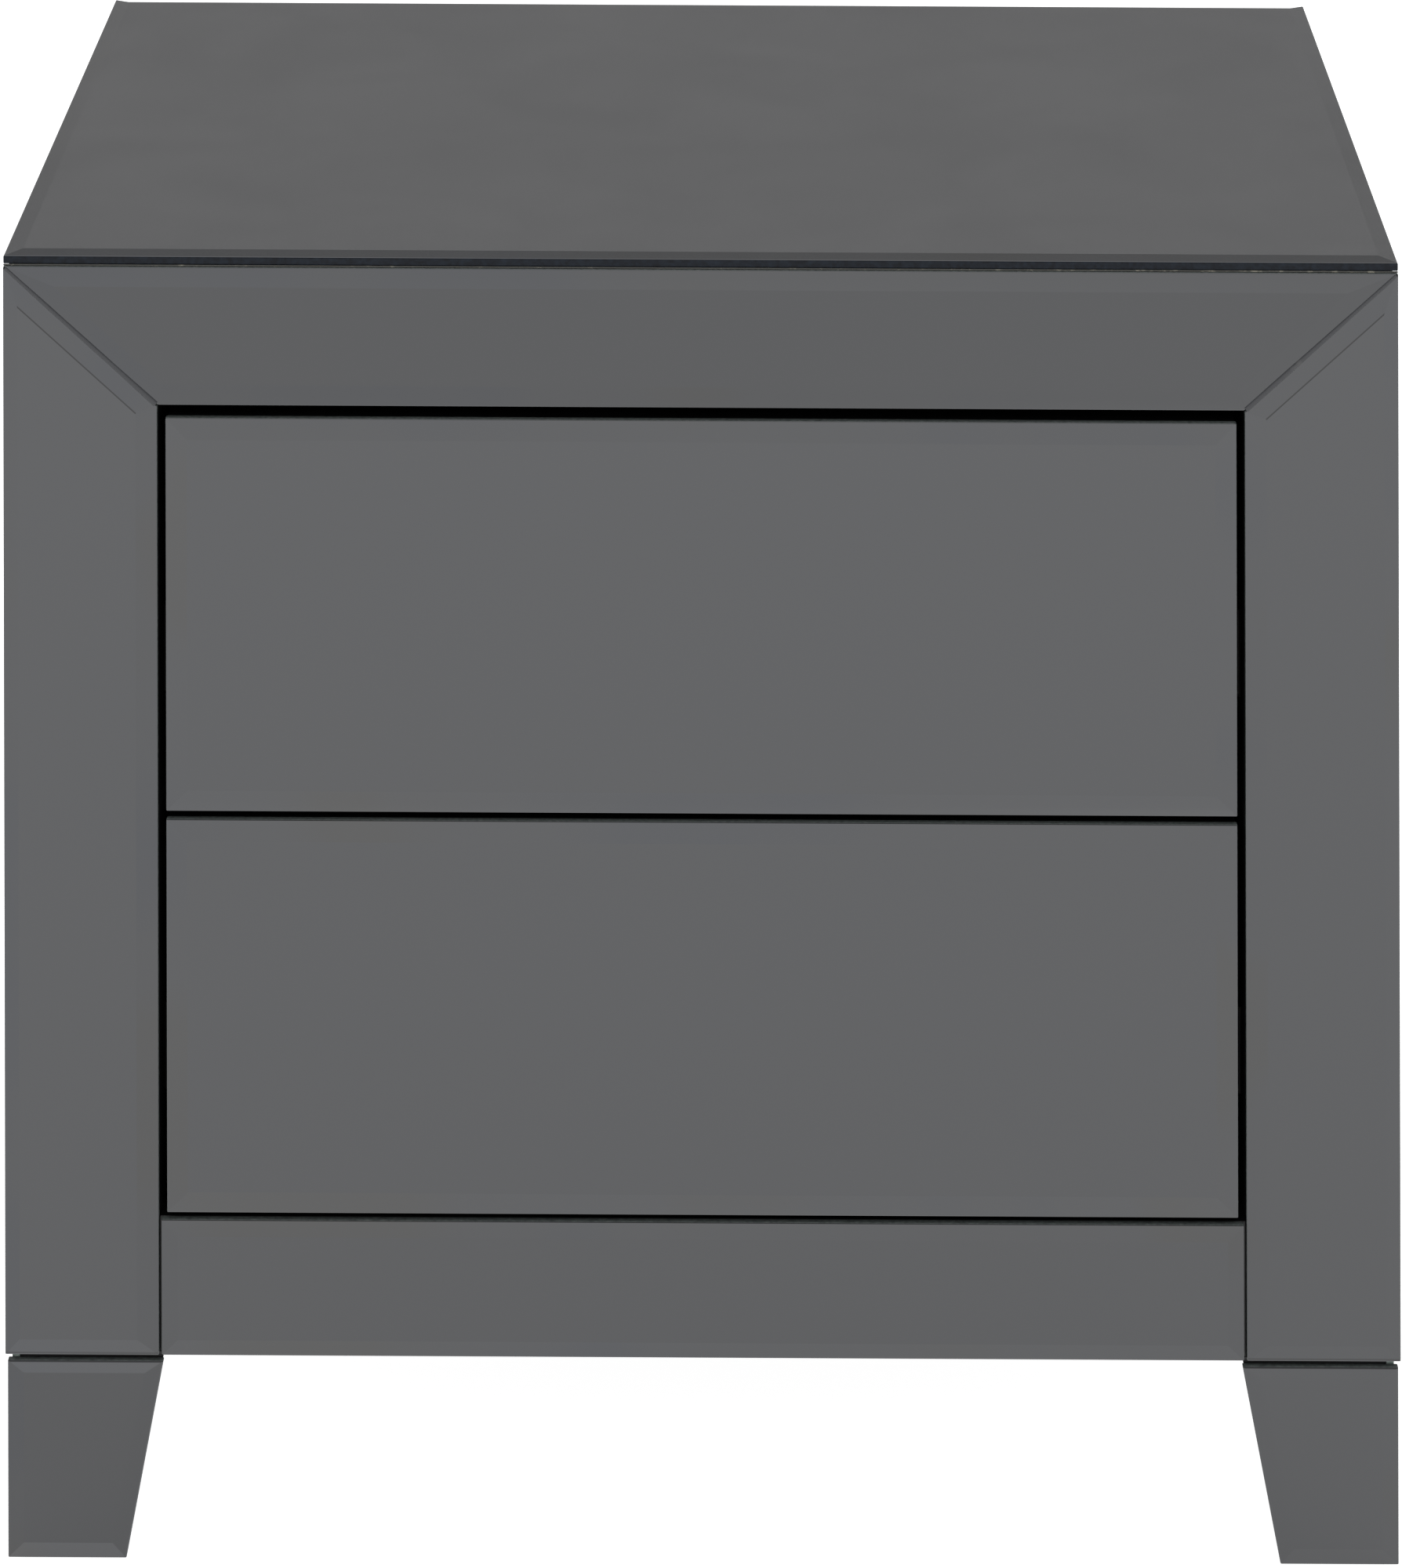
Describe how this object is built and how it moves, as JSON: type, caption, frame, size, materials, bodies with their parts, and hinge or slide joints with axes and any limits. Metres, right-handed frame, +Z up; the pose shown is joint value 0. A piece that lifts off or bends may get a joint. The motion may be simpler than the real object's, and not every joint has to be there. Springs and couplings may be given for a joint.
{
  "type": "nightstand with drawers",
  "caption": "Low bedside cabinet clad in bevelled smoked mirror, with a mitred front frame, flush handle-less drawers that open with a push, and short tapered feet.",
  "frame": {"origin": "on the floor, midway across the overall width and the overall depth", "axes": "+X to the right as seen from the front, +Y from the front to the back, +Z up"},
  "size_m": [0.55, 0.38, 0.515],
  "materials": {
    "smoked_mirror": "polished, bevelled edges",
    "black_mdf": "satin black paint on fibreboard",
    "drawer_board": "satin black lacquer on fibreboard",
    "black_zinc_steel": "black zinc plating",
    "screw_steel": "satin zinc plating",
    "grey_plastic": "moulded",
    "felt": "pressed felt"
  },
  "bodies": {
    "cabinet": {"top_panel": "black_mdf", "bottom_panel": "black_mdf", "left_side_panel": "black_mdf", "right_side_panel": "black_mdf", "left_runner_panel": "black_mdf", "right_runner_panel": "black_mdf", "left_stile": "black_mdf", "right_stile": "black_mdf", "top_rail": "black_mdf", "bottom_rail": "black_mdf", "back_panel": "black_mdf", "top_mirror": "smoked_mirror", "left_side_mirror": "smoked_mirror", "right_side_mirror": "smoked_mirror", "left_stile_mirror": "smoked_mirror", "right_stile_mirror": "smoked_mirror", "top_rail_mirror": "smoked_mirror", "bottom_rail_mirror": "smoked_mirror", "front_left_foot": "black_mdf", "front_right_foot": "black_mdf", "rear_left_foot": "black_mdf", "rear_right_foot": "black_mdf", "front_left_foot_mirror": "smoked_mirror", "front_right_foot_mirror": "smoked_mirror", "front_left_foot_side_mirror": "smoked_mirror", "front_right_foot_side_mirror": "smoked_mirror", "rear_left_foot_side_mirror": "smoked_mirror", "rear_right_foot_side_mirror": "smoked_mirror", "foot_pads": "felt", "upper_left_cabinet_rail": "black_zinc_steel", "upper_right_cabinet_rail": "black_zinc_steel", "lower_left_cabinet_rail": "black_zinc_steel", "lower_right_cabinet_rail": "black_zinc_steel", "upper_latch_housing": "grey_plastic", "lower_latch_housing": "grey_plastic", "cabinet_screws": "screw_steel"},
    "upper_drawer": {"upper_drawer_front": "black_mdf", "upper_drawer_mirror": "smoked_mirror", "upper_drawer_inner_front": "drawer_board", "upper_drawer_left_side": "drawer_board", "upper_drawer_right_side": "drawer_board", "upper_drawer_back": "drawer_board", "upper_drawer_bottom": "drawer_board", "upper_drawer_left_rail": "black_zinc_steel", "upper_drawer_right_rail": "black_zinc_steel", "upper_drawer_screws": "screw_steel"},
    "lower_drawer": {"lower_drawer_front": "black_mdf", "lower_drawer_mirror": "smoked_mirror", "lower_drawer_inner_front": "drawer_board", "lower_drawer_left_side": "drawer_board", "lower_drawer_right_side": "drawer_board", "lower_drawer_back": "drawer_board", "lower_drawer_bottom": "drawer_board", "lower_drawer_left_rail": "black_zinc_steel", "lower_drawer_right_rail": "black_zinc_steel", "lower_drawer_screws": "screw_steel"},
    "upper_ball_cages": {"upper_ball_cages": "black_zinc_steel"},
    "lower_ball_cages": {"lower_ball_cages": "black_zinc_steel"},
    "upper_latch_plunger": {"upper_latch_plunger": "grey_plastic"},
    "lower_latch_plunger": {"lower_latch_plunger": "grey_plastic"}
  },
  "joints": [
    {"name": "upper_drawer_slide", "type": "slide", "parent": "cabinet", "child": "upper_drawer", "axis": [0, -1, 0], "range_m": [-0.0025, 0.225]},
    {"name": "upper_ball_cages_slide", "type": "slide", "parent": "cabinet", "child": "upper_ball_cages", "axis": [0, -1, 0], "range_m": [-0.00125, 0.1125]},
    {"name": "upper_latch_press", "type": "slide", "parent": "cabinet", "child": "upper_latch_plunger", "axis": [0, -1, 0], "range_m": [-0.003, 0], "stiffness_N_per_m": 400, "springref_m": 0.005},
    {"name": "lower_drawer_slide", "type": "slide", "parent": "cabinet", "child": "lower_drawer", "axis": [0, -1, 0], "range_m": [-0.0025, 0.225]},
    {"name": "lower_ball_cages_slide", "type": "slide", "parent": "cabinet", "child": "lower_ball_cages", "axis": [0, -1, 0], "range_m": [-0.00125, 0.1125]},
    {"name": "lower_latch_press", "type": "slide", "parent": "cabinet", "child": "lower_latch_plunger", "axis": [0, -1, 0], "range_m": [-0.003, 0], "stiffness_N_per_m": 400, "springref_m": 0.005}
  ],
  "couplings": [
    {"joint": "upper_ball_cages_slide", "follows": "upper_drawer_slide", "ratio": 0.5},
    {"joint": "lower_ball_cages_slide", "follows": "lower_drawer_slide", "ratio": 0.5}
  ]
}
